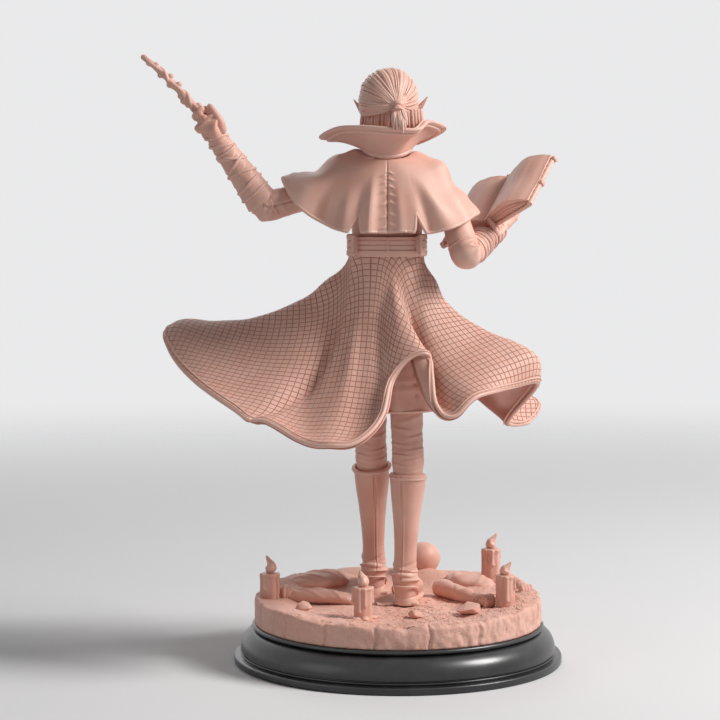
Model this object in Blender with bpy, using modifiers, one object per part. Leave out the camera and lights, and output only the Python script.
"""A spell-caster figure on a turned display plinth, cast in resin as a kit of pegged and glued pieces.

Metres, +Z up. The origin is the centre of the plinth's underside. The figure faces +Y, with its left,
the wand side, towards -X. Every height stacks up from the plinth, so a changed size moves what it carries.
"""

import math

import bmesh
import bpy
from mathutils import Matrix, Vector, noise

# The glue gap that every two pieces keep between them.
GAP = 0.0003

# Plinth and scenic base.
BASE_DIAMETER = 0.040
BASE_THICKNESS = 0.0022
BASE_SPIGOT_DIAMETER = 0.012
BASE_SPIGOT_LENGTH = 0.0018
PLINTH_HEIGHT = 0.0053
PLINTH_FOOT_FLARE = 0.0028
PLINTH_FOOT_BAND = 0.0010
PLINTH_TOP_LIP = 0.0003
PEG_DIAMETER = 0.0018
PEG_LENGTH = 0.0012

# The standing figure, from the ground up.
FIGURE_X = -0.00155
BODY_HEIGHT = 0.0609
BOOT_SHAFT_RADIUS = 0.00215
BOOT_ANKLE_RADIUS = 0.00165
BOOT_CUFF_ROLL = 0.00045
BOOT_SOCKET_DEPTH = 0.0012
FOOT_LENGTH = 0.0098
FOOT_WIDTH = 0.0038
SOLE_THICKNESS = 0.0006
LEG_RADIUS = 0.00185
TUNIC_HEM_WIDTH = 0.0128
TUNIC_HEM_DEPTH = 0.0108
TUNIC_HEM_RECESS = 0.0050
TUNIC_WALL = 0.0008
WAIST_WIDTH = 0.0096
WAIST_DEPTH = 0.0070
BELT_HEIGHT = 0.0022
BELT_THICKNESS = 0.0005
KEEPER_WIDTH = 0.0011
KEEPER_OVERHANG = 0.0004
CHEST_WIDTH = 0.0124
CHEST_DEPTH = 0.0078
SKIRT_THICKNESS = 0.0008
SKIRT_GRID = 0.001
CAPELET_THICKNESS = 0.0007
CAPELET_GRID = 0.001
COLLAR_THICKNESS = 0.0006
COLLAR_GRID = 0.001
NECK_RADIUS = 0.0018
NECK_LENGTH = 0.0028
NECK_RISE = 0.0009
HEAD_WIDTH = 0.0069
HEAD_DEPTH = 0.0083
HEAD_HEIGHT = 0.0092
HAIR_THICKNESS = 0.0007
TIE_RADIUS = 0.00085
TIE_LENGTH = 0.0010
PONYTAIL_LENGTH = 0.0034

# Arms, wand and book.
SHOULDER_DROP = 0.0014
SLEEVE_RADIUS = 0.0019
UPPER_ARM_LENGTH = 0.0102
FOREARM_LENGTH = 0.0117
BRACER_RADIUS = 0.0021
WRIST_RADIUS = 0.0014
PALM_LENGTH = 0.0042
FINGER_LENGTH = 0.0034
FINGER_RADIUS = 0.00048
WAND_LENGTH = 0.0142
WAND_GRIP_RADIUS = 0.00055
WAND_TIP_RADIUS = 0.00035
BOOK_HEIGHT = 0.0115
BOARD_WIDTH = 0.0076
BOARD_THICKNESS = 0.0005
SPINE_WIDTH = 0.0016
BOOK_OVERHANG = 0.0076
PAGE_MARGIN = 0.0006
PAGE_BLOCK_THICKNESS = 0.0011
PAGE_INSET = 0.0003
BOOK_FITTING = 0.0010

# What lies on the ground.
CANDLE_RADIUS = 0.00125
CANDLE_HEIGHT = 0.0055
CANDLE_SOCKET_DEPTH = 0.0005
FLAME_HEIGHT = 0.0026
FALLEN_HEAD_RADIUS = 0.0024
FALLEN_BODY_RADIUS = 0.0023
FALLEN_LIMB_RADIUS = 0.0012
STONE_RADIUS = 0.0010
LOOSE_PAGE_WIDTH = 0.0022
LOOSE_PAGE_THICKNESS = 0.0004

# Shares of the body's height, from the soles to the neck.
BOOT_HEIGHT = BODY_HEIGHT * 0.312
WAIST_HEIGHT = BODY_HEIGHT * 0.7964
TUNIC_LENGTH = BODY_HEIGHT * 0.3514
TORSO_HEIGHT = BODY_HEIGHT - WAIST_HEIGHT

# Heights that follow from the stack.
BASE_BOTTOM = PLINTH_HEIGHT + GAP
GROUND = BASE_BOTTOM + BASE_THICKNESS
STANDING = GROUND + GAP
CUFF_TOP = STANDING + BOOT_HEIGHT
BELT_BOTTOM = STANDING + WAIST_HEIGHT
TUNIC_TOP = BELT_BOTTOM - GAP
TUNIC_HEM = TUNIC_TOP - TUNIC_LENGTH
TORSO_TOP = BELT_BOTTOM + TORSO_HEIGHT
CHIN = TORSO_TOP + GAP + NECK_LENGTH
WAIST = Vector((FIGURE_X, 0, BELT_BOTTOM))
BASE_RADIUS = BASE_DIAMETER / 2
PAGE_WIDTH = BOARD_WIDTH - PAGE_MARGIN

# The coat skirt's hem, from its front left edge round the back to its front right edge:
# across, away and up from the waist, and how far the cloth arches above the hem, in grid steps,
# and the share of its fall that it drops before it turns outwards.
SKIRT_HEM = [
    (-10.5, 12.5, -17.5, 0.5, 0.7), (-21.5, 13.0, -13.5, 2.5, 0.85), (-30.6, 7.6, -11.4, 3.2, 0.92),
    (-30.4, 1.6, -13.6, 3.0, 0.9), (-26.2, -4.6, -17.2, 1.4, 0.8), (-20.8, -9.4, -20.4, 0.4, 0.7),
    (-18.2, -11.4, -21.4, 0.0, 0.62), (-15.6, -11.2, -20.8, 0.4, 0.62), (-11.3, -14.4, -23.0, 0.0, 0.62),
    (-7.9, -16.6, -24.1, 0.0, 0.62), (-4.2, -16.2, -23.2, 0.3, 0.62), (-1.5, -12.9, -20.6, 0.8, 0.62),
    (0.7, -8.9, -16.8, 1.2, 0.62), (3.8, -7.6, -14.1, 1.4, 0.62), (5.8, -9.0, -16.4, 1.0, 0.62),
    (6.9, -12.6, -19.9, 0.4, 0.62), (8.9, -14.2, -20.6, 0.2, 0.62), (12.4, -12.4, -18.7, 2.0, 0.62),
    (17.2, -7.6, -17.9, 6.6, 0.62), (20.9, -2.4, -18.0, 9.0, 0.62), (17.2, 3.0, -23.4, 4.0, 0.62),
    (20.2, 6.8, -24.0, 2.6, 0.62), (21.8, 10.4, -21.4, 2.6, 0.62), (15.5, 13.0, -19.5, 1.0, 0.62),
    (8.8, 12.6, -18.4, 0.5, 0.62),
]
# The shoulder cape's hem, likewise, from the neck.
CAPELET_HEM = [
    (-1.5, 6.2, -8.6, 2.6), (-6.9, 5.9, -7.2, 3.2), (-11.8, 4.4, -4.2, 2.4), (-14.6, 0.5, -2.1, 1.5),
    (-12.2, -4.8, -6.0, 2.9), (-8.3, -5.4, -8.3, 3.8), (-5.6, -6.1, -9.1, 3.8), (-2.8, -6.4, -9.6, 4.0),
    (0.1, -6.2, -9.8, 4.0), (2.6, -6.4, -9.7, 4.0), (5.5, -6.1, -9.4, 3.8), (8.5, -5.0, -8.9, 3.6),
    (11.6, -3.2, -7.9, 3.6), (12.5, 0.4, -7.1, 3.4), (10.2, 2.8, -7.8, 3.2), (7.0, 4.8, -8.4, 3.0),
    (2.2, 5.6, -8.6, 2.6),
]
# The collar's rim, likewise, from the neck.
COLLAR_RIM = [
    (-4.2, 4.2, 2.0, 0.2), (-7.4, 3.4, 2.5, 0.0), (-9.2, 0.6, 2.6, -0.2), (-7.0, -2.8, 3.6, -0.4),
    (-3.9, -5.4, 3.7, -0.6), (0.0, -6.4, 3.5, -0.7), (3.6, -5.5, 3.5, -0.6), (5.9, -2.9, 3.9, -0.4),
    (7.8, 0.5, 3.9, -0.2), (6.8, 3.3, 3.0, 0.0), (4.2, 4.2, 2.0, 0.2),
]

RESIN_COLOUR = (0.72, 0.42, 0.33, 1.0)
LACQUER_COLOUR = (0.012, 0.012, 0.013, 1.0)


def clear_scene():
    for old in list(bpy.data.objects):
        bpy.data.objects.remove(old, do_unlink=True)


def new_collection(name, hidden=False):
    made = bpy.data.collections.new(name)
    made.hide_render = hidden
    bpy.context.scene.collection.children.link(made)
    return made


def new_material(name, colour, roughness, metallic):
    made = bpy.data.materials.new(name)
    made.use_nodes = True
    shader = made.node_tree.nodes["Principled BSDF"]
    shader.inputs["Base Color"].default_value = colour
    shader.inputs["Roughness"].default_value = roughness
    shader.inputs["Metallic"].default_value = metallic
    made.diffuse_color = colour
    return made


def new_empty(name, location):
    made = bpy.data.objects.new(name, None)
    made.empty_display_size = 0.004
    made.location = location
    FIGURE.objects.link(made)
    return made


clear_scene()
FIGURE = new_collection("spell_caster_figure")
HELPERS = new_collection("joining_and_cutting_shapes", hidden=True)
RESIN = new_material("cast_resin", RESIN_COLOUR, 0.5, 0.0)
LACQUER = new_material("black_lacquer", LACQUER_COLOUR, 0.3, 0.0)
ON_TABLE = new_empty("table_origin", (0, 0, 0))
ON_GROUND = new_empty("ground_origin", (0, 0, GROUND))
ON_WAIST = new_empty("waist_origin", WAIST)


def piece_from(name, bm, origin, parent=None, material=None, sharp_degrees=35, helper=False):
    """The bmesh, modelled about the origin, as an object placed there under its parent."""
    bmesh.ops.recalc_face_normals(bm, faces=bm.faces)
    mesh = bpy.data.meshes.new(name)
    bm.to_mesh(mesh)
    bm.free()
    mesh.materials.append(material or RESIN)
    mesh.shade_smooth()
    mesh.set_sharp_from_angle(angle=math.radians(sharp_degrees))
    return placed(bpy.data.objects.new(name, mesh), origin, parent, helper)


def placed(made, origin, parent=None, helper=False):
    """Links an object in its collection and puts it at its origin under its parent."""
    (HELPERS if helper else FIGURE).objects.link(made)
    made.parent = parent or ON_WAIST
    made.location = Vector(origin) - made.parent.location
    if helper:
        made.hide_render = True
        made.display_type = "WIRE"
    return made


def combine(target, operation, *helpers):
    """Joins or cuts the target with each helper shape."""
    for helper in helpers:
        modifier = target.modifiers.new(helper.name, "BOOLEAN")
        modifier.operation = operation
        modifier.object = helper
    return target


def smoothed(rows, steps):
    """Rows of numbers with more rows on a smooth curve between them."""
    found = []
    for index in range(len(rows) - 1):
        before, start = rows[max(index - 1, 0)], rows[index]
        end, after = rows[index + 1], rows[min(index + 2, len(rows) - 1)]
        for step in range(steps):
            t = step / steps
            found.append(tuple(
                b + 0.5 * t * (c - a + t * (2 * a - 5 * b + 4 * c - d + t * (3 * (b - c) + d - a)))
                for a, b, c, d in zip(before, start, end, after)
            ))
    return found + [tuple(rows[-1])]


def loft(name, stations, side, sides=12, steps=2, shape=None, grow=0.0, **options):
    """A closed solid through oval sections: each station is a centre and its half width and half depth.

    side is where a section's width points. shape turns an angle and a share of the length into a factor on
    the radius. grow makes the same shape larger all round, for the socket that another one fits.
    """
    rows = smoothed([tuple(station) for station in stations], steps)
    centres = [Vector(row[:3]) for row in rows]
    origin = centres[0].copy()
    last = len(rows) - 1
    bm = bmesh.new()
    rings = []
    for index, row in enumerate(rows):
        along = (centres[min(index + 1, last)] - centres[max(index - 1, 0)]).normalized()
        wide = (Vector(side) - along * along.dot(Vector(side))).normalized()
        deep = along.cross(wide)
        push = along * (grow if index == last else -grow if index == 0 else 0.0)
        ring = []
        for corner in range(sides):
            angle = 2 * math.pi * corner / sides
            factor = shape(angle, index / last) if shape else 1.0
            across = wide * (math.cos(angle) * (row[3] * factor + grow))
            across = across + deep * (math.sin(angle) * (row[4] * factor + grow))
            ring.append(bm.verts.new(centres[index] + push + across - origin))
        rings.append(ring)
    for lower, upper in zip(rings, rings[1:]):
        for corner in range(sides):
            following = (corner + 1) % sides
            bm.faces.new((lower[corner], lower[following], upper[following], upper[corner]))
    bm.faces.new(rings[0])
    bm.faces.new(rings[-1])
    return piece_from(name, bm, origin, **options)


def ball(name, centre, radii, across=12, down=8, **options):
    bm = bmesh.new()
    bmesh.ops.create_uvsphere(bm, u_segments=across, v_segments=down, radius=1.0)
    bmesh.ops.scale(bm, vec=Vector(radii), verts=bm.verts)
    return piece_from(name, bm, centre, **options)


def block(name, centre, size, turn=None, bevel=0.0, **options):
    """A box of that size about its centre, turned by a 3x3 matrix, with rounded edges where asked."""
    bm = bmesh.new()
    bmesh.ops.create_cube(bm, size=1.0)
    bmesh.ops.scale(bm, vec=Vector(size), verts=bm.verts)
    if bevel:
        bmesh.ops.bevel(bm, geom=bm.edges[:], offset=bevel, segments=1, profile=0.5, affect="EDGES")
    if turn:
        bmesh.ops.rotate(bm, cent=(0, 0, 0), matrix=turn, verts=bm.verts)
    return piece_from(name, bm, centre, **options)


def pin(name, foot, radius, length, sides=12, **options):
    """A straight round pin, or the hole for one, standing up from the middle of its foot."""
    bm = bmesh.new()
    bmesh.ops.create_cone(
        bm, cap_ends=True, segments=sides, radius1=radius, radius2=radius, depth=length,
        matrix=Matrix.Translation((0, 0, length / 2)),
    )
    return piece_from(name, bm, foot, **options)


def turned(name, profile, steps, origin, parent, material):
    """A shape of revolution about +Z from its outer profile, listed from the top down."""
    mesh = bpy.data.meshes.new(name)
    edges = [(index, index + 1) for index in range(len(profile) - 1)]
    mesh.from_pydata([(radius, 0, height) for radius, height in profile], edges, [])
    mesh.materials.append(material)
    made = placed(bpy.data.objects.new(name, mesh), origin, parent)
    screw = made.modifiers.new("turn", "SCREW")
    screw.steps = screw.render_steps = steps
    screw.use_merge_vertices = True
    screw.merge_threshold = 0.00001
    return made


def extruded(name, outline, length, origin, axes, **options):
    """A flat outline, as points in a plane, given a length along that plane's normal.

    axes are the directions of the outline's across and up and of the length, which starts at the origin.
    """
    curve = bpy.data.curves.new(name, "CURVE")
    curve.dimensions = "2D"
    curve.fill_mode = "BOTH"
    curve.extrude = length / 2
    spline = curve.splines.new("POLY")
    spline.points.add(len(outline) - 1)
    for point, (across, up) in zip(spline.points, outline):
        point.co = (across, up, 0, 1)
    spline.use_cyclic_u = True
    flat = bpy.data.objects.new(name, curve)
    HELPERS.objects.link(flat)
    bpy.context.view_layer.update()
    mesh = bpy.data.meshes.new_from_object(flat.evaluated_get(bpy.context.evaluated_depsgraph_get()))
    bpy.data.objects.remove(flat)
    bm = bmesh.new()
    bm.from_mesh(mesh)
    bmesh.ops.remove_doubles(bm, verts=bm.verts, dist=0.00001)
    across, up, along = (Vector(axis).normalized() for axis in axes)
    turn = Matrix((across, up, along)).transposed()
    bmesh.ops.translate(bm, vec=(0, 0, length / 2), verts=bm.verts)
    bmesh.ops.rotate(bm, cent=(0, 0, 0), matrix=turn, verts=bm.verts)
    return piece_from(name, bm, origin, **options)


def draped_sheet(name, top, hem_from, hem, grid, across, down, thickness, handles, **options):
    """A moulded sheet between a top edge and a hem, as thick as cloth is cast.

    top gives the top edge's points from 0 to 1. Each hem row is measured from hem_from in steps of the grid.
    handles shape the fall: how far out and down it heads at the top, and how far in it comes from at
    the hem, which a high arch does away with.
    """
    out_at_top, down_at_top, in_at_hem = handles
    full_arch = 9
    rows = smoothed(hem, across // (len(hem) - 1))
    columns = len(rows) - 1
    bm = bmesh.new()
    bmesh.ops.create_grid(bm, x_segments=columns, y_segments=down, size=0.5)
    for vert in bm.verts:
        share, t = vert.co.x + 0.5, vert.co.y + 0.5
        row = rows[round(share * columns)]
        start = top(share)
        end = Vector(hem_from) + Vector(row[:3]) * grid
        flat = Vector((end.x - start.x, end.y - start.y, 0))
        drop = row[4] if len(row) > 4 else down_at_top
        leaving = start + flat * out_at_top + Vector((0, 0, (end.z - start.z) * drop))
        inward = in_at_hem * max(0.0, 1 - row[3] / full_arch)
        arriving = end - flat * inward + Vector((0, 0, row[3] * grid))
        rest = 1 - t
        point = start * rest**3 + leaving * (3 * t * rest**2) + arriving * (3 * t * t * rest) + end * t**3
        vert.co = point - Vector(hem_from)
    made = piece_from(name, bm, hem_from, **options)
    middle = made.data.polygons[len(made.data.polygons) // 2]
    outward = Vector((middle.center.x, middle.center.y, 0)).dot(middle.normal) > 0
    solid = made.modifiers.new("cast_thickness", "SOLIDIFY")
    solid.thickness = thickness
    solid.offset = -1.0 if outward else 1.0
    return made


def oval(centre, half_width, half_depth, from_degrees, to_degrees):
    """Points from 0 to 1 round an oval: 0 degrees is the back, and positive goes to the figure's right."""
    def point(share):
        angle = math.radians(from_degrees + (to_degrees - from_degrees) * share)
        return Vector(centre) + Vector((half_width * math.sin(angle), -half_depth * math.cos(angle), 0))
    return point


# Plinth and scenic base.

def make_plinth():
    top = BASE_RADIUS + PLINTH_TOP_LIP
    foot = BASE_RADIUS + PLINTH_FOOT_FLARE
    socket = BASE_SPIGOT_DIAMETER / 2 + GAP
    floor = PLINTH_HEIGHT - BASE_SPIGOT_LENGTH - GAP
    neck = PLINTH_HEIGHT - PLINTH_TOP_LIP * 2
    band = PLINTH_FOOT_BAND
    swell = neck - band
    bulge = []
    for share in (0.0, 0.25, 0.5, 0.75, 1.0):
        out = (foot - top) * math.sin(share * math.pi / 2)
        bulge.append((top - PLINTH_TOP_LIP * 3 + out, neck - swell * 0.82 * share**1.7))
    profile = [(0, floor), (socket, floor), (socket, PLINTH_HEIGHT), (top - PLINTH_TOP_LIP, PLINTH_HEIGHT)]
    profile += [(top, PLINTH_HEIGHT - PLINTH_TOP_LIP), (top - PLINTH_TOP_LIP, neck)]
    profile += bulge
    profile += [(bulge[-1][0] - PLINTH_TOP_LIP, band * 1.1), (foot - PLINTH_TOP_LIP, band)]
    profile += [(foot, band * 0.6), (foot, band * 0.2), (foot - PLINTH_TOP_LIP, 0), (0, 0)]
    return turned("plinth", profile, 48, (0, 0, 0), ON_TABLE, LACQUER)


def make_scenic_base(stands):
    """A disc of worn paving with a chipped rim, a spigot below and a socket for each standing piece."""
    rim, segments, chip = BASE_RADIUS, 48, BASE_THICKNESS * 0.32
    bm = bmesh.new()
    bmesh.ops.create_cone(
        bm, cap_ends=True, segments=segments, radius1=rim, radius2=rim, depth=BASE_THICKNESS,
        matrix=Matrix.Translation((0, 0, BASE_THICKNESS / 2)),
    )
    def upright(edge):
        return abs(edge.verts[0].co.z - edge.verts[1].co.z) > BASE_THICKNESS / 2
    bmesh.ops.subdivide_edges(bm, edges=[edge for edge in bm.edges if upright(edge)], cuts=1)
    lid = [face for face in bm.faces if face.normal.z > 0.9]
    bmesh.ops.inset_region(bm, faces=lid, thickness=BASE_THICKNESS / 2, depth=0.0)
    for vert in bm.verts:
        if vert.co.z < BASE_THICKNESS * 0.1:
            continue
        rough = noise.noise(vert.co * 6.4 / rim) * chip
        outer = vert.co.xy.length > rim * 0.975
        if outer:
            vert.co.xy *= 1 - (chip * 0.5 + abs(rough)) / rim
            if vert.co.z > BASE_THICKNESS * 0.9:
                vert.co.z -= abs(rough) + chip * 0.2
    base = piece_from("scenic_base", bm, (0, 0, BASE_BOTTOM), parent=ON_TABLE, sharp_degrees=20)
    spigot = pin(
        "base_spigot", (0, 0, BASE_BOTTOM - BASE_SPIGOT_LENGTH), BASE_SPIGOT_DIAMETER / 2,
        BASE_SPIGOT_LENGTH + BASE_THICKNESS / 2, sides=24, parent=ON_TABLE, helper=True,
    )
    combine(base, "UNION", spigot)
    for index, (x, y, radius, depth) in enumerate(stands):
        foot = (x, y, GROUND - depth)
        hole = pin(f"base_socket_{index}", foot, radius, depth * 3, parent=ON_TABLE, helper=True)
        combine(base, "DIFFERENCE", hole)
    return base


# Broken paving: where each lump lies, as shares of the base's radius, and its share of the full size.
STONES = [(-0.63, -0.38, 0.9), (0.48, -0.47, 1.1), (0.12, -0.58, 0.7), (0.82, -0.02, 0.8)]


def make_stone(index, across, away, share):
    """A lump of broken paving, bedded on the ground."""
    size = STONE_RADIUS * share
    bm = bmesh.new()
    bmesh.ops.create_icosphere(bm, subdivisions=1, radius=size)
    for vert in bm.verts:
        vert.co *= 1 + 0.35 * noise.noise(vert.co * 0.7 / STONE_RADIUS + Vector((index * 3.1, 0, 0)))
        vert.co.z = max(vert.co.z * 0.75, -size * 0.4)
    lowest = min(vert.co.z for vert in bm.verts)
    place = (across * BASE_RADIUS, away * BASE_RADIUS, STANDING - lowest)
    return piece_from(f"rubble_{index}", bm, place, parent=ON_GROUND, sharp_degrees=15)


# Candles: an angle round the base, a share of its radius and of the full height, and the way the flame leans.
CANDLES = [
    (186.0, 0.887, 0.76, (-0.6, 0.0)),
    (249.0, 0.647, 0.76, (-0.2, 0.2)),
    (41.0, 0.902, 1.0, (0.7, 0.0)),
    (341.0, 0.782, 0.84, (0.8, -0.1)),
]


def candle_place(angle, share):
    reach = BASE_RADIUS * share
    return reach * math.cos(math.radians(angle)), reach * math.sin(math.radians(angle))


def make_candle(index, angle, share, burnt, lean):
    x, y = candle_place(angle, share)
    height = CANDLE_HEIGHT * burnt
    foot = GROUND - CANDLE_SOCKET_DEPTH + GAP
    top = GROUND + height
    radius = CANDLE_RADIUS
    lip = radius * 1.08
    column = [
        (x, y, foot, radius, radius), (x, y, GROUND + height * 0.15, radius * 0.98, radius * 0.98),
        (x, y, GROUND + height * 0.5, radius * 0.93, radius * 0.93), (x, y, top - height * 0.12, lip, lip),
        (x, y, top, radius * 0.86, radius * 0.86),
    ]
    def dripped(turn, share):
        return 1 + 0.07 * math.sin(3 * turn + index) * math.sin(math.pi * share)
    candle = loft(f"candle_{index}", column, (1, 0, 0), steps=1, shape=dripped, parent=ON_GROUND)
    rows = [(0.0, -0.1, 0.3), (0.05, 0.2, 0.52), (0.2, 0.45, 0.5), (0.6, 0.8, 0.22), (1.0, 1.0, 0.06)]
    stations = []
    for bend, rise, width in rows:
        sway = Vector(lean) * (FLAME_HEIGHT * bend / 2)
        stations.append((x + sway.x, y + sway.y, top + rise * FLAME_HEIGHT, width * radius, width * radius))
    flame = loft(f"flame_{index}", stations, (1, 0, 0), sides=8, parent=ON_GROUND, helper=True)
    return combine(candle, "UNION", flame)


# Boots and legs: where each heel stands, how far the foot turns out, and where the knee and hip are.
LEGS = {
    "left": {"heel": (-0.0034, 0.0046), "turn": 4.0, "knee": (-0.00215, 0.0020), "hip": (-0.0024, 0.0002)},
    "right": {"heel": (0.0010, -0.0032), "turn": -7.0, "knee": (0.00295, -0.0026), "hip": (0.0024, 0.0)},
}


def leg_line(leg):
    """The ankle over the heel, the boot's top and the hip, as points."""
    heel_x, heel_y = leg["heel"]
    knee_x, knee_y = leg["knee"]
    hip_x, hip_y = leg["hip"]
    ankle = Vector((heel_x, heel_y + FOOT_LENGTH * 0.12, STANDING + BOOT_HEIGHT * 0.24))
    cuff = Vector((FIGURE_X + knee_x, knee_y, CUFF_TOP))
    hip = Vector((FIGURE_X + hip_x, hip_y, TUNIC_TOP - TUNIC_LENGTH * 0.52))
    return ankle, cuff, hip


def make_leg(side_name, leg, grow=0.0, helper=False):
    """The trousered leg, from inside the boot's top up to the hip."""
    ankle, cuff, hip = leg_line(leg)
    down = (ankle - cuff).normalized()
    start = cuff + down * (BOOT_SOCKET_DEPTH - GAP)
    stations = [(*start, LEG_RADIUS * 0.9, LEG_RADIUS * 0.9)]
    for share, wide, deep in [(0.05, 1.04, 1.04), (0.2, 0.98, 1.0), (0.45, 1.05, 1.12), (1.0, 0.98, 1.2)]:
        stations.append((*cuff.lerp(hip, share), LEG_RADIUS * wide, LEG_RADIUS * deep))
    name = f"{side_name}_leg" + ("_socket" if helper else "")
    return loft(name, stations, (1, 0, 0), sides=14, steps=2, grow=grow, parent=ON_GROUND, helper=helper)


def make_boot(side_name, leg):
    ankle, cuff, hip = leg_line(leg)
    heel = Vector((*leg["heel"], STANDING))
    turn = math.radians(leg["turn"])
    ahead = Vector((-math.sin(turn), math.cos(turn), 0))
    shaft = BOOT_SHAFT_RADIUS
    roll = shaft + BOOT_CUFF_ROLL
    slim = BOOT_ANKLE_RADIUS
    fold = slim + BOOT_CUFF_ROLL * 0.5
    stations = [
        (heel.x, heel.y + slim * 0.35, STANDING + SOLE_THICKNESS * 0.5, slim * 0.95, slim * 1.0),
        (*heel.lerp(ankle, 0.5), slim * 1.02, slim * 1.12), (*heel.lerp(ankle, 0.8), fold, fold * 1.1),
        (*ankle, slim, slim * 1.05),
    ]
    shaft_rows = [
        (0.08, fold), (0.16, slim), (0.62, shaft), (0.9, shaft), (0.93, shaft), (0.955, roll), (0.985, roll),
        (1.0, shaft),
    ]
    stations += [(*ankle.lerp(cuff, share), radius, radius) for share, radius in shaft_rows]
    boot = loft(f"{side_name}_boot", stations, (1, 0, 0), sides=14, steps=1, parent=ON_GROUND)
    back = heel - ahead * slim * 0.35
    last = [(0.07, 0.5, 0.39), (0.35, 0.5, 0.45), (0.68, 0.34, 0.5), (0.9, 0.26, 0.38), (1.0, 0.16, 0.12)]
    rows = []
    for along, tall, wide in last:
        place = back + ahead * FOOT_LENGTH * along
        place.z += SOLE_THICKNESS * 0.6 + FOOT_WIDTH * tall
        rows.append((*place, FOOT_WIDTH * wide, FOOT_WIDTH * tall))
    upper = loft(f"{side_name}_foot", rows, (1, 0, 0), sides=10, steps=2, parent=ON_GROUND, helper=True)
    outline = [(-0.42, 0.0), (-0.46, 0.12), (-0.36, 0.36), (-0.5, 0.66), (-0.4, 0.9), (-0.12, 1.02)]
    outline = outline + [(-across, along) for across, along in reversed(outline)]
    outline = [(across * FOOT_WIDTH, along * FOOT_LENGTH) for across, along in outline]
    beside = Vector((ahead.y, -ahead.x, 0))
    sole = extruded(
        f"{side_name}_sole", outline, SOLE_THICKNESS, back, (beside, ahead, (0, 0, 1)),
        parent=ON_GROUND, helper=True,
    )
    peg = pin(
        f"{side_name}_boot_peg", (*boot_peg_place(leg), STANDING - PEG_LENGTH), PEG_DIAMETER / 2,
        PEG_LENGTH + SOLE_THICKNESS * 0.5, parent=ON_GROUND, helper=True,
    )
    combine(boot, "UNION", upper, sole, peg)
    return combine(boot, "DIFFERENCE", make_leg(side_name, leg, grow=GAP, helper=True))


def boot_peg_place(leg):
    heel_x, heel_y = leg["heel"]
    return heel_x, heel_y + FOOT_LENGTH * 0.25


# Clothes on the body.

def make_tunic():
    top = WAIST - Vector((0, 0, GAP))
    upper = (WAIST_WIDTH / 2 - SKIRT_THICKNESS - GAP, WAIST_DEPTH / 2 - SKIRT_THICKNESS - GAP)
    hem = (TUNIC_HEM_WIDTH / 2, TUNIC_HEM_DEPTH / 2)
    lean = TUNIC_HEM_WIDTH * 0.03
    def stations(inset, foot):
        rows = []
        for share in (1.0, 0.7, 0.4, 0.15, 0.0):
            ease = share**1.2
            z = top.z - share * TUNIC_LENGTH - (foot if share == 1.0 else 0)
            wide = upper[0] + (hem[0] - upper[0]) * ease - inset
            deep = upper[1] + (hem[1] - upper[1]) * ease - inset
            rows.append((top.x + ease * lean, top.y + ease * lean, z, wide, deep))
        return rows
    def pleated(turn, share):
        return 1 + 0.025 * (1 - share) * math.cos(9 * turn)
    tunic = loft("tunic", stations(0.0, 0.0), (1, 0, 0), sides=30, steps=1, shape=pleated)
    recess = stations(TUNIC_WALL, TUNIC_HEM_RECESS)[:2]
    hollow = loft("tunic_hollow", recess, (1, 0, 0), sides=30, steps=1, helper=True)
    key_foot = top - Vector((0, 0, PEG_LENGTH))
    key = pin("tunic_key", key_foot, PEG_DIAMETER, PEG_LENGTH * 2, sides=6, helper=True)
    combine(tunic, "DIFFERENCE", hollow)
    combine(tunic, "DIFFERENCE", *(make_leg_socket(name, leg) for name, leg in LEGS.items()))
    return combine(tunic, "UNION", key)


def make_leg_socket(name, leg):
    socket = make_leg(name, leg, grow=GAP, helper=True)
    socket.name = f"{name}_leg_socket_in_tunic"
    return socket


def make_torso():
    x, y, z = WAIST
    wide, deep = WAIST_WIDTH / 2, WAIST_DEPTH / 2
    chest_wide, chest_deep = CHEST_WIDTH / 2, CHEST_DEPTH / 2
    neck = NECK_RADIUS * 1.3
    stations = [
        (x, y, z, wide, deep), (x, y, z + BELT_HEIGHT + GAP, wide, deep),
        (x, y, z + TORSO_HEIGHT * 0.42, wide * 1.08, deep * 1.06),
        (x, y, z + TORSO_HEIGHT * 0.66, chest_wide, chest_deep),
        (x, y, z + TORSO_HEIGHT * 0.82, chest_wide * 0.94, chest_deep * 0.86),
        (x, y, z + TORSO_HEIGHT * 0.93, chest_wide * 0.62, chest_deep * 0.68),
        (x, y, z + TORSO_HEIGHT, neck, neck),
    ]
    torso = loft("torso", stations, (1, 0, 0), sides=18, steps=2)
    key_foot = WAIST - Vector((0, 0, PEG_LENGTH))
    key = pin("tunic_key_socket", key_foot, PEG_DIAMETER + GAP, PEG_LENGTH * 2 + GAP, sides=6, helper=True)
    neck_foot = (x, y, TORSO_TOP - PEG_LENGTH - GAP)
    neck_hole = pin("neck_socket", neck_foot, PEG_DIAMETER / 2 + GAP, PEG_LENGTH * 3, helper=True)
    return combine(torso, "DIFFERENCE", key, neck_hole)


def make_belt():
    """A flat band round the waist, with a raised edge above and below."""
    inner = oval((0, 0, 0), WAIST_WIDTH / 2 + GAP, WAIST_DEPTH / 2 + GAP, 0, 360)
    turns = 32
    section = [(0, 0), (1, 0), (1, 0.18), (0.55, 0.18), (0.55, 0.82), (1, 0.82), (1, 1), (0, 1)]
    bm = bmesh.new()
    loops = []
    for index in range(turns):
        foot = inner(index / turns)
        out = foot.normalized() * BELT_THICKNESS
        rise = Vector((0, 0, BELT_HEIGHT))
        loops.append([bm.verts.new(foot + out * far + rise * up) for far, up in section])
    for index, loop in enumerate(loops):
        following = loops[(index + 1) % turns]
        for corner in range(len(section)):
            other = (corner + 1) % len(section)
            bm.faces.new((loop[corner], following[corner], following[other], loop[other]))
    return piece_from("belt", bm, WAIST, sharp_degrees=25)


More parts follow.
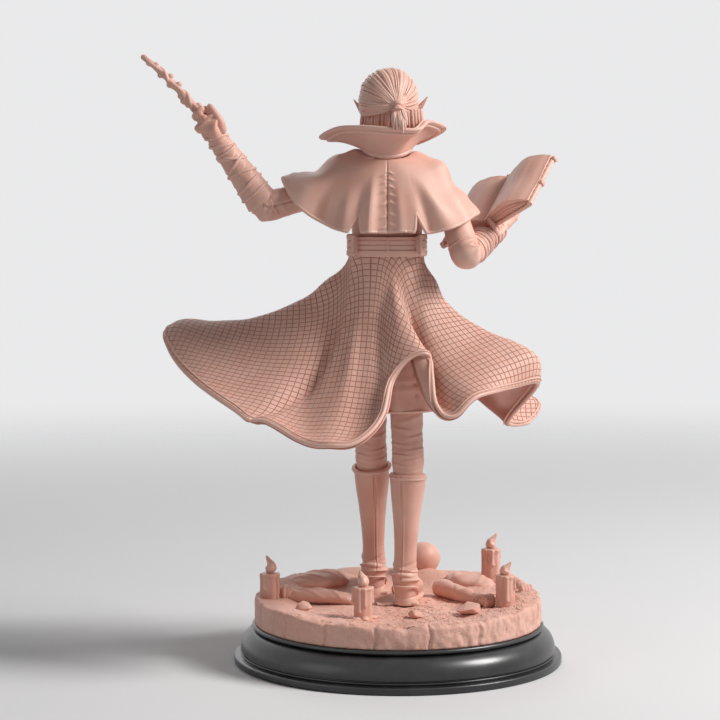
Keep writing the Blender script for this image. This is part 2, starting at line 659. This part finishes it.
def make_belt_fitting(name, degrees, width):
    """A keeper or buckle plate over the belt, at that way round the waist."""
    angle = math.radians(degrees)
    out = Vector((math.sin(angle), -math.cos(angle), 0))
    belt_out = BELT_THICKNESS + GAP * 2
    reach = Vector((out.x * (WAIST_WIDTH / 2 + belt_out), out.y * (WAIST_DEPTH / 2 + belt_out), 0))
    tall = BELT_HEIGHT + KEEPER_OVERHANG * 2
    thick = BELT_THICKNESS
    turn = Matrix.Rotation(math.atan2(out.x / WAIST_WIDTH, -out.y / WAIST_DEPTH), 3, "Z")
    centre = WAIST + reach + turn @ Vector((0, -thick / 2 - GAP, 0)) + Vector((0, 0, BELT_HEIGHT / 2))
    return block(name, centre, (width, thick, tall), turn=turn, bevel=thick * 0.2)


def make_skirt():
    top = oval(WAIST - Vector((0, 0, GAP)), WAIST_WIDTH / 2 + GAP, WAIST_DEPTH / 2 + GAP, -125, 125)
    fall = (0.06, 0.62, 0.42)
    return draped_sheet("coat_skirt", top, WAIST, SKIRT_HEM, SKIRT_GRID, 48, 9, SKIRT_THICKNESS, fall)


def neck_base():
    return WAIST + Vector((0, 0, TORSO_HEIGHT + GAP))


def neckline(centre, half_width, half_depth, degrees):
    """The oval that a garment's neck edge follows, lowest at the nape."""
    level = oval(centre, half_width, half_depth, -degrees, degrees)
    def point(share):
        angle = math.radians(degrees * (2 * share - 1))
        return level(share) + Vector((0, 0, NECK_RISE * min(1.0, 1 - math.cos(angle))))
    return point


def make_capelet():
    neck = neck_base()
    inner = NECK_RADIUS * 1.3 + GAP + CAPELET_THICKNESS
    top = neckline(neck, inner, inner, 165)
    fall = (0.5, 0.02, 0.12)
    cape = draped_sheet("capelet", top, neck, CAPELET_HEM, CAPELET_GRID, 32, 7, CAPELET_THICKNESS, fall)
    notch = [(-0.8, -3.2), (0.8, -3.2), (0.12, 1.9), (-0.12, 1.9)]
    outline = [(across * CAPELET_GRID, up * CAPELET_GRID) for across, up in notch]
    for index, across in enumerate((-3.9, 4.2)):
        foot = neck + Vector((across, -4.0, -9.2)) * CAPELET_GRID
        slit = extruded(
            f"capelet_slit_{index}", outline, CAPELET_GRID * 6, foot,
            ((1, 0, 0), (0, 0, 1), (0, -1, 0)), helper=True,
        )
        combine(cape, "DIFFERENCE", slit)
    return cape


def make_collar():
    neck = neck_base()
    foot = neck + Vector((0, 0, GAP))
    inner = NECK_RADIUS + GAP + COLLAR_THICKNESS
    top = neckline(foot, inner * 1.12, inner * 1.2, 112)
    flare = (0.05, 0.45, 0.5)
    return draped_sheet("collar", top, foot, COLLAR_RIM, COLLAR_GRID, 20, 5, COLLAR_THICKNESS, flare)


# Head and hair.

def head_x():
    """The head is carried a little to the figure's right."""
    return FIGURE_X + HEAD_WIDTH * 0.072


def head_stations():
    """The neck, and the head above it: a height, how far forward, and a width and depth, as shares."""
    half, deep = HEAD_WIDTH / 2, HEAD_DEPTH / 2
    sections = [
        (0.02, 0.12, 0.54, 0.58), (0.16, 0.12, 0.82, 0.80), (0.36, 0.1, 0.96, 0.94), (0.52, 0.07, 1.0, 1.0),
        (0.66, 0.06, 1.0, 1.0), (0.80, 0.04, 0.90, 0.92), (0.92, 0.01, 0.64, 0.68), (1.0, 0.0, 0.2, 0.22),
    ]
    bend = NECK_RADIUS * 0.11
    rows = [
        (FIGURE_X, 0, TORSO_TOP + GAP, NECK_RADIUS, NECK_RADIUS),
        (FIGURE_X + bend, bend, CHIN - NECK_LENGTH * 0.1, NECK_RADIUS * 0.94, NECK_RADIUS),
    ]
    for share, forward, wide, long in sections:
        rows.append((head_x(), forward * HEAD_DEPTH, CHIN + share * HEAD_HEIGHT, half * wide, deep * long))
    return rows


def make_ear(name, side, grow=0.0):
    """A long pointed ear, swept up and back from the side of the head."""
    middle = Vector((head_x(), HEAD_DEPTH * 0.05, CHIN + HEAD_HEIGHT * 0.45))
    step = HEAD_HEIGHT / 10
    rows = [
        (-0.87, 0.43, -0.65, 0.98, 0.43), (0.22, 0.0, 0.0, 1.09, 0.46),
        (0.98, -0.54, 0.87, 0.65, 0.37), (1.74, -1.09, 1.85, 0.11, 0.11),
    ]
    stations = []
    for out, forward, rise, wide, thick in rows:
        place = middle + Vector((side * (HEAD_WIDTH / 2 + out * step), forward * step, rise * step))
        stations.append((*place, wide * step, thick * step))
    return loft(name, stations, (0, 1, -0.4), sides=8, steps=2, grow=grow, helper=True)


def make_head():
    head = loft("head", head_stations(), (1, 0, 0), sides=14, steps=2)
    bridge = Vector((head_x(), HEAD_DEPTH * 0.54, CHIN + HEAD_HEIGHT * 0.52))
    step = HEAD_HEIGHT / 10
    rows = [(0, 0, 0.24, 0.33), (0.33, -1.1, 0.35, 0.54), (0.43, -2.0, 0.54, 0.6), (0, -2.4, 0.33, 0.33)]
    stations = []
    for forward, rise, wide, long in rows:
        stations.append((*(bridge + Vector((0, forward * step, rise * step))), wide * step, long * step))
    nose = loft("nose", stations, (1, 0, 0), sides=8, steps=1, helper=True)
    peg_foot = (FIGURE_X, 0, TORSO_TOP - PEG_LENGTH)
    peg = pin("neck_peg", peg_foot, PEG_DIAMETER / 2, PEG_LENGTH * 1.5 + GAP, helper=True)
    return combine(head, "UNION", make_ear("left_ear", -1), make_ear("right_ear", 1), nose, peg)


def make_hair():
    """Hair swept back, its locks running to the tie at the back of the head, and cut short below."""
    deep = HEAD_DEPTH / 2 + HAIR_THICKNESS
    half = HEAD_WIDTH / 2 + HAIR_THICKNESS
    tall = HEAD_HEIGHT / 2 + HAIR_THICKNESS
    centre = Vector((head_x(), -HEAD_DEPTH * 0.012, CHIN + HEAD_HEIGHT * 0.52))
    locks = 14
    bm = bmesh.new()
    bmesh.ops.create_uvsphere(bm, u_segments=locks * 2, v_segments=11, radius=1.0)
    for vert in bm.verts:
        turn = math.atan2(vert.co.y, vert.co.x)
        spread = vert.co.xy.length
        vert.co *= 1 + 0.02 * spread * math.cos(locks * turn)
    to_back = Matrix.Rotation(math.radians(90), 3, "X")
    bmesh.ops.rotate(bm, cent=(0, 0, 0), matrix=to_back, verts=bm.verts)
    for vert in bm.verts:
        if vert.co.z < 0:
            ring = max(vert.co.xy.length, 0.05)
            vert.co.xy *= min(ring**-0.55, 1.6)
    bmesh.ops.scale(bm, vec=(half, deep, tall), verts=bm.verts)
    hair = piece_from("hair", bm, centre)
    skull = loft("skull_hollow", head_stations(), (1, 0, 0), sides=14, steps=2, grow=GAP, helper=True)
    tilt = Matrix.Rotation(math.radians(-24), 3, "X")
    clear = HEAD_HEIGHT * 3
    ahead = centre + Vector((0, deep + HEAD_DEPTH * 0.52, tall * 0.05))
    face_side = block("hairline", ahead, (clear, HEAD_DEPTH * 2, clear), turn=tilt, helper=True)
    below = Vector((centre.x, centre.y, CHIN + HEAD_HEIGHT * 0.13 - HEAD_HEIGHT / 2))
    nape = block("hair_ends", below, (clear, clear, HEAD_HEIGHT), helper=True)
    throat_foot = (centre.x, HEAD_DEPTH * 0.012, CHIN - HEAD_HEIGHT * 0.22)
    throat = pin("throat_hollow", throat_foot, HEAD_WIDTH * 0.3, HEAD_HEIGHT * 0.45, helper=True)
    ears = make_ear("left_ear_room", -1, GAP), make_ear("right_ear_room", 1, GAP)
    return combine(hair, "DIFFERENCE", skull, throat, face_side, nape, *ears)


def tie_place():
    away = -HEAD_DEPTH * 0.512 - HAIR_THICKNESS - GAP
    return Vector((head_x() + HEAD_WIDTH * 0.1, away, CHIN + HEAD_HEIGHT * 0.50))


def make_hair_tie():
    stations = []
    for back, down, swell in [(0.0, 0.0, 0.9), (0.25, 0.1, 1.0), (0.75, 0.4, 1.0), (1.0, 0.6, 0.85)]:
        place = tie_place() - Vector((0, TIE_LENGTH * back, TIE_LENGTH * down))
        stations.append((*place, TIE_RADIUS * swell, TIE_RADIUS * swell))
    return loft("hair_tie", stations, (1, 0, 0), sides=14, steps=1)


def make_ponytail():
    start = tie_place() - Vector((0, TIE_LENGTH + GAP, TIE_LENGTH * 0.6 + GAP * 0.5))
    rows = [
        (0.0, 0.0, 0.0, 0.75, 0.7), (0.06, 0.12, 0.2, 1.2, 0.9), (0.15, 0.16, 0.55, 1.3, 0.8),
        (0.24, 0.14, 0.85, 0.9, 0.5), (0.27, 0.12, 1.0, 0.3, 0.2),
    ]
    stations = []
    for across, back, down, wide, thick in rows:
        place = start + Vector((across, -back, -down)) * PONYTAIL_LENGTH
        stations.append((*place, TIE_RADIUS * wide, TIE_RADIUS * thick))
    def locks(turn, share):
        return 1 + 0.1 * math.cos(7 * turn)
    return loft("ponytail", stations, (1, 0, 0), sides=14, steps=2, shape=locks)


# Arms: how far out from the chest's side and forward the sleeve starts, and where the two bones point.
ARMS = {
    "left": {
        "out": -0.0002, "forward": 0.0009,
        "upper": (-0.95, -0.17, -0.26), "lower": (-0.61, -0.03, 0.79),
    },
    "right": {
        "out": 0.0018, "forward": 0.0,
        "upper": (0.24, -0.29, -0.925), "lower": (0.43, 0.85, 0.31),
    },
}


def arm_points(arm):
    across = FIGURE_X + math.copysign(CHEST_WIDTH / 2 + arm["out"], arm["upper"][0])
    shoulder = Vector((across, arm["forward"], TORSO_TOP - SHOULDER_DROP - SLEEVE_RADIUS))
    elbow = shoulder + Vector(arm["upper"]).normalized() * UPPER_ARM_LENGTH
    wrist = elbow + Vector(arm["lower"]).normalized() * FOREARM_LENGTH
    return shoulder, elbow, wrist


def make_upper_arm(name, arm, grow=0.0, helper=False):
    shoulder, elbow, wrist = arm_points(arm)
    ahead = (elbow - shoulder).normalized()
    sleeve = SLEEVE_RADIUS
    clear = shoulder + ahead * (GAP * 2)
    stations = []
    for share, swell in [(0.0, 0.7), (0.3, 0.8), (0.7, 0.87), (0.9, 1.05), (1.0, 1.0)]:
        stations.append((*clear.lerp(elbow, share), sleeve * swell, sleeve * swell))
    stations.append((*(elbow + ahead * sleeve * 0.7), sleeve * 0.55, sleeve * 0.55))
    return loft(name, stations, (0, 1, 0), sides=14, steps=2, grow=grow, helper=helper)


def make_forearm(name, arm, wraps):
    """The forearm in its bindings, each turn of which laps the one before."""
    shoulder, elbow, wrist = arm_points(arm)
    ahead = (wrist - elbow).normalized()
    stations = [(*elbow.lerp(wrist, -0.04), BRACER_RADIUS * 0.7, BRACER_RADIUS * 0.7)]
    for index in range(wraps):
        for share, swell in ((0.1, 1.0), (0.8, 0.93)):
            along = 0.06 + 0.94 * (index + share) / wraps
            radius = (BRACER_RADIUS + (WRIST_RADIUS - BRACER_RADIUS) * along) * swell
            stations.append((*elbow.lerp(wrist, along), radius, radius))
    stations.append((*wrist, WRIST_RADIUS * 0.9, WRIST_RADIUS * 0.9))
    forearm = loft(name, stations, (0, 1, 0.3), sides=12, steps=1)
    return combine(forearm, "DIFFERENCE", make_upper_arm(f"{name}_elbow_room", arm, grow=GAP, helper=True))


def wand_line():
    """Where the wand's grip starts in the left fist, and the way it points."""
    shoulder, elbow, wrist = arm_points(ARMS["left"])
    ahead = (wrist - elbow).normalized()
    points = Vector((-0.718, 0.0, 0.697)).normalized()
    beside = points.cross(Vector((0, 1, 0)))
    return wrist + ahead * WRIST_RADIUS * 0.65 - beside * WRIST_RADIUS * 0.55, points


def make_wand(grow=0.0, helper=False):
    """A crooked length of root, with a knot wherever a twig was trimmed, tapering to a blunt tip."""
    start, points = wand_line()
    bend = points.cross(Vector((0, 1, 0)))
    swells = [(0.0, 1.0), (0.08, 1.0), (0.2, 1.0)]
    for knot, size in [(0.30, 1.55), (0.47, 1.5), (0.62, 1.6), (0.76, 1.5), (0.9, 1.35)]:
        swells += [(knot - 0.045, 1.0), (knot, size), (knot + 0.045, 1.0)]
    rows = []
    for share, swell in swells + [(1.0, 1.0)]:
        radius = (WAND_GRIP_RADIUS + (WAND_TIP_RADIUS - WAND_GRIP_RADIUS) * share) * swell
        sway = bend * (WAND_LENGTH * 0.021 * math.sin(7.0 * share))
        rows.append((*(start + points * (WAND_LENGTH * share) + sway), radius, radius * 0.85))
    name = "wand_grip_room" if helper else "wand"
    return loft(name, rows, (0, 1, 0), sides=10, steps=1, grow=grow, helper=helper)


def make_left_hand():
    """A fist closed round the wand: the palm, four fingers bent round the grip and the thumb along it."""
    shoulder, elbow, wrist = arm_points(ARMS["left"])
    ahead = (wrist - elbow).normalized()
    start, points = wand_line()
    across = points.cross(Vector((0, 1, 0))).normalized()
    grip = WAND_GRIP_RADIUS + FINGER_RADIUS * 1.7
    pitch = FINGER_RADIUS * 1.9
    fist = [(*(start - points * FINGER_RADIUS * 0.6), grip * 0.6, grip * 0.6)]
    for index in range(4):
        for share, swell in ((0.1, 0.86), (0.35, 1.0), (0.65, 1.0), (0.9, 0.86)):
            spot = start + points * (pitch * (index + share))
            fist.append((*spot, grip * swell * 1.1, grip * swell * 0.95))
    hand = loft("left_hand", fist, (0, 1, 0), sides=12, steps=1)
    heel = wrist + ahead * GAP
    palm = [
        (*heel, WRIST_RADIUS * 0.85, WRIST_RADIUS * 0.75),
        (*heel.lerp(start + points * pitch, 0.5), WRIST_RADIUS * 0.9, WRIST_RADIUS * 0.65),
        (*(start + points * pitch * 1.6), grip * 0.8, grip * 0.6),
    ]
    thumb = []
    for along, out, swell in [(1.0, 0.6, 1.2), (2.3, 1.1, 1.1), (4.0, 1.0, 0.7)]:
        place = start + points * pitch * along + across * grip * out
        thumb.append((*place, FINGER_RADIUS * swell, FINGER_RADIUS * swell))
    combine(hand, "UNION", loft("left_palm", palm, (0, 1, 0), sides=10, steps=1, helper=True))
    combine(hand, "UNION", loft("left_thumb", thumb, (0, 1, 0), sides=8, steps=2, helper=True))
    turn = ahead.to_track_quat("Z", "Y").to_matrix()
    room = WRIST_RADIUS * 6
    behind = wrist + ahead * (GAP - room / 2)
    wrist_room = block("wrist_room", behind, (room, room, room), turn=turn, helper=True)
    return combine(hand, "DIFFERENCE", wrist_room, make_wand(grow=GAP, helper=True))


def book_axes():
    """The open book's directions: across the right-hand page, up along the spine, and out of the page."""
    up = Vector((0.345, 0.73, 0.585)).normalized()
    across = Vector((0.775, -0.575, 0.259))
    across = (across - up * across.dot(up)).normalized()
    return across, up, across.cross(up)


def book_origin():
    """The foot of the spine's outside, over the right wrist, which the left board overhangs."""
    shoulder, elbow, wrist = arm_points(ARMS["right"])
    across, up, out = book_axes()
    rest = wrist + out * (WRIST_RADIUS + GAP)
    return rest - up * BOOK_HEIGHT * 0.263 + across * (SPINE_WIDTH / 2 + BOARD_WIDTH - BOOK_OVERHANG)


def board_rise(side):
    """How far a board's outer edge is above the spine: the right is held up and the left falls away."""
    return BOARD_WIDTH * (0.21 if side > 0 else -0.08)


def make_book_cover(grow=0.0, helper=False):
    """Two boards and a flat spine, lying open."""
    across, up, out = book_axes()
    half = SPINE_WIDTH / 2
    reach = half + BOARD_WIDTH + grow
    lower = [(-reach, board_rise(-1) - grow), (-half, -grow), (half, -grow), (reach, board_rise(1) - grow)]
    upper = [(x, y + BOARD_THICKNESS + grow * 2) for x, y in reversed(lower)]
    name = "book_cover_room" if helper else "book_cover"
    foot = book_origin() - up * grow
    return extruded(name, lower + upper, BOOK_HEIGHT + grow * 2, foot, (across, out, up), helper=helper)


def make_page_block(name, side):
    """One half of the leaves, arched up out of the gutter and falling to the fore edge."""
    across, up, out = book_axes()
    floor = BOARD_THICKNESS + GAP
    gutter = GAP / 2
    half = SPINE_WIDTH / 2
    width = half + PAGE_WIDTH
    fall = board_rise(side) / BOARD_WIDTH
    outline = [(gutter, floor), (half, floor), (width, floor + fall * PAGE_WIDTH)]
    for share, lift in [(1.0, 0.4), (0.88, 0.95), (0.77, 1.4), (0.62, 1.75), (0.48, 1.85), (0.3, 1.7), (0.14, 1.35), (0.0, 0.95)]:
        x = gutter + (width - gutter) * share
        outline.append((x, floor + fall * max(0.0, x - half) + lift * PAGE_BLOCK_THICKNESS))
    outline = [(side * x, y) for x, y in outline]
    foot = book_origin() + up * PAGE_INSET
    return extruded(name, outline, BOOK_HEIGHT - 2 * PAGE_INSET, foot, (across, out, up))


def make_book_fitting(name, side, share, length=BOOK_FITTING):
    """A cast corner or clasp, standing off the board's outer edge."""
    size = (BOOK_FITTING * 0.8, length, BOOK_FITTING * 0.9)
    across, up, out = book_axes()
    edge = SPINE_WIDTH / 2 + BOARD_WIDTH + GAP + size[0] / 2
    level = board_rise(side) + BOARD_THICKNESS / 2
    centre = book_origin() + across * (side * edge) + up * (BOOK_HEIGHT * share) + out * level
    turn = Matrix((across, up, out)).transposed()
    return block(name, centre, size, turn=turn, bevel=min(size) * 0.3)


def make_book_bed(name):
    """The room above the spine's back, from the book's foot on, that the hand and forearm leave to the book."""
    across, up, out = book_axes()
    room = BOOK_HEIGHT * 2
    centre = book_origin() + up * (room / 2 - GAP) + out * (room / 2 - GAP)
    turn = Matrix((across, up, out)).transposed()
    return block(name, centre, (room * 2, room, room), turn=turn, helper=True)


def make_right_hand():
    """An open hand, palm up under the book's spine, its fingers spread along the boards."""
    shoulder, elbow, wrist = arm_points(ARMS["right"])
    ahead = (wrist - elbow).normalized()
    across, up, out = book_axes()
    start = wrist + ahead * GAP
    palm = []
    for along, wide, thick in [(0.0, 0.85, 0.8), (0.29, 1.1, 0.75), (0.71, 1.2, 0.6), (1.0, 0.9, 0.4)]:
        palm.append((*(start + ahead * PALM_LENGTH * along), WRIST_RADIUS * wide, WRIST_RADIUS * thick))
    hand = loft("right_hand", palm, across, sides=12, steps=2)
    for index, share in enumerate((0.85, 0.96, 0.92, 0.8)):
        beside = (index - 1.5) * FINGER_RADIUS * 1.9
        foot = start + ahead * PALM_LENGTH * 0.76 + across * beside
        tip = foot + up * FINGER_LENGTH * share + across * beside * 0.3
        finger = []
        for along, swell in [(0.0, 1.05), (0.5, 1.0), (1.0, 0.6)]:
            finger.append((*foot.lerp(tip, along), FINGER_RADIUS * swell, FINGER_RADIUS * swell))
        combine(hand, "UNION", loft(f"right_finger_{index}", finger, across, sides=8, steps=2, helper=True))
    return combine(hand, "DIFFERENCE", make_book_bed("hand_bed"), make_book_cover(grow=GAP, helper=True))


# The body that lies on the ground, and what is scattered round it.

def make_lying(name, radius, rows):
    """A limb or trunk that lies on the ground.

    Each row is a place, as shares of the base's radius, and a half width and height, as shares of the limb's.
    """
    stations = []
    for across, away, wide, tall in rows:
        place = (across * BASE_RADIUS, away * BASE_RADIUS, STANDING + tall * radius)
        stations.append((*place, tall * radius, wide * radius))
    return loft(name, stations, (0, 0, 1), sides=10, steps=2, parent=ON_GROUND)


def make_fallen():
    round_head = (FALLEN_HEAD_RADIUS, FALLEN_HEAD_RADIUS, FALLEN_HEAD_RADIUS * 1.2)
    place = (BASE_RADIUS * 0.19, BASE_RADIUS * 0.79, STANDING + round_head[2])
    ball("fallen_head", place, round_head, parent=ON_GROUND)
    make_lying("fallen_chest", FALLEN_BODY_RADIUS, [
        (0.37, 0.6, 0.26, 0.22), (0.41, 0.56, 0.83, 0.57), (0.53, 0.44, 1.0, 0.61), (0.63, 0.35, 0.78, 0.48),
        (0.68, 0.31, 0.26, 0.22),
    ])
    make_lying("fallen_robe", FALLEN_BODY_RADIUS, [
        (-0.8, 0.33, 0.35, 0.22), (-0.71, 0.36, 0.96, 0.52), (-0.57, 0.42, 1.3, 0.7), (-0.46, 0.48, 1.22, 0.7),
        (-0.38, 0.53, 0.43, 0.35),
    ])
    make_lying("fallen_right_arm", FALLEN_LIMB_RADIUS, [
        (0.27, 0.23, 0.42, 0.5), (0.305, 0.185, 0.96, 1.0), (0.43, 0.02, 0.92, 0.92), (0.55, -0.14, 0.71, 0.71),
        (0.57, -0.165, 0.88, 0.83), (0.62, -0.23, 0.75, 0.79), (0.645, -0.26, 0.25, 0.33),
    ])
    make_lying("fallen_left_arm", FALLEN_LIMB_RADIUS, [
        (0.76, 0.49, 0.42, 0.5), (0.785, 0.46, 0.83, 0.92), (0.85, 0.345, 0.83, 0.88), (0.885, 0.25, 0.67, 0.71),
        (0.895, 0.215, 0.79, 0.79), (0.91, 0.15, 0.67, 0.71), (0.915, 0.12, 0.25, 0.33),
    ])
    make_lying("fallen_leg", FALLEN_LIMB_RADIUS, [
        (-0.83, -0.01, 0.58, 0.67), (-0.78, -0.02, 0.96, 0.92), (-0.74, -0.025, 0.75, 0.75),
        (-0.55, -0.07, 1.08, 1.08), (-0.38, -0.11, 0.96, 0.92), (-0.31, -0.13, 0.5, 0.5),
    ])


def make_loose_page():
    """A leaf of the book, lying beside the right heel."""
    turn = Matrix.Rotation(math.radians(12), 3, "Z")
    size = (LOOSE_PAGE_WIDTH, LOOSE_PAGE_WIDTH * 0.8, LOOSE_PAGE_THICKNESS)
    heel_x, heel_y = LEGS["right"]["heel"]
    across = heel_x - FOOT_WIDTH / 2 - LOOSE_PAGE_WIDTH / 2
    centre = (across, heel_y, STANDING + LOOSE_PAGE_THICKNESS / 2)
    return block("loose_page", centre, size, turn=turn, parent=ON_GROUND)


def make_figure():
    make_plinth()
    stands = [(*boot_peg_place(leg), PEG_DIAMETER / 2 + GAP, PEG_LENGTH) for leg in LEGS.values()]
    for angle, share, burnt, lean in CANDLES:
        stands.append((*candle_place(angle, share), CANDLE_RADIUS * 1.1 + GAP, CANDLE_SOCKET_DEPTH))
    make_scenic_base(stands)
    for index, row in enumerate(CANDLES):
        make_candle(index + 1, *row)
    for index, row in enumerate(STONES):
        make_stone(index + 1, *row)
    make_fallen()
    make_loose_page()
    for name, leg in LEGS.items():
        make_boot(name, leg)
        make_leg(name, leg)
    make_tunic()
    make_torso()
    make_belt()
    make_belt_fitting("belt_keeper_left", -50, KEEPER_WIDTH)
    make_belt_fitting("belt_keeper_right", 50, KEEPER_WIDTH)
    make_belt_fitting("belt_buckle", 180, KEEPER_WIDTH * 2.4)
    make_skirt()
    make_capelet()
    make_collar()
    make_head()
    make_hair()
    make_hair_tie()
    make_ponytail()
    for name, arm in ARMS.items():
        make_upper_arm(f"{name}_sleeve", arm)
    make_forearm("left_forearm", ARMS["left"], 7)
    right_forearm = make_forearm("right_forearm", ARMS["right"], 7)
    combine(right_forearm, "DIFFERENCE", make_book_bed("forearm_bed"))
    make_left_hand()
    make_wand()
    make_book_cover()
    make_page_block("book_pages_left", -1)
    make_page_block("book_pages_right", 1)
    make_book_fitting("book_clasp", 1, 0.42, BOOK_FITTING * 1.2)
    make_book_fitting("book_corner_right", 1, 0.94)
    make_book_fitting("book_corner_left", -1, 0.06)
    make_right_hand()


make_figure()
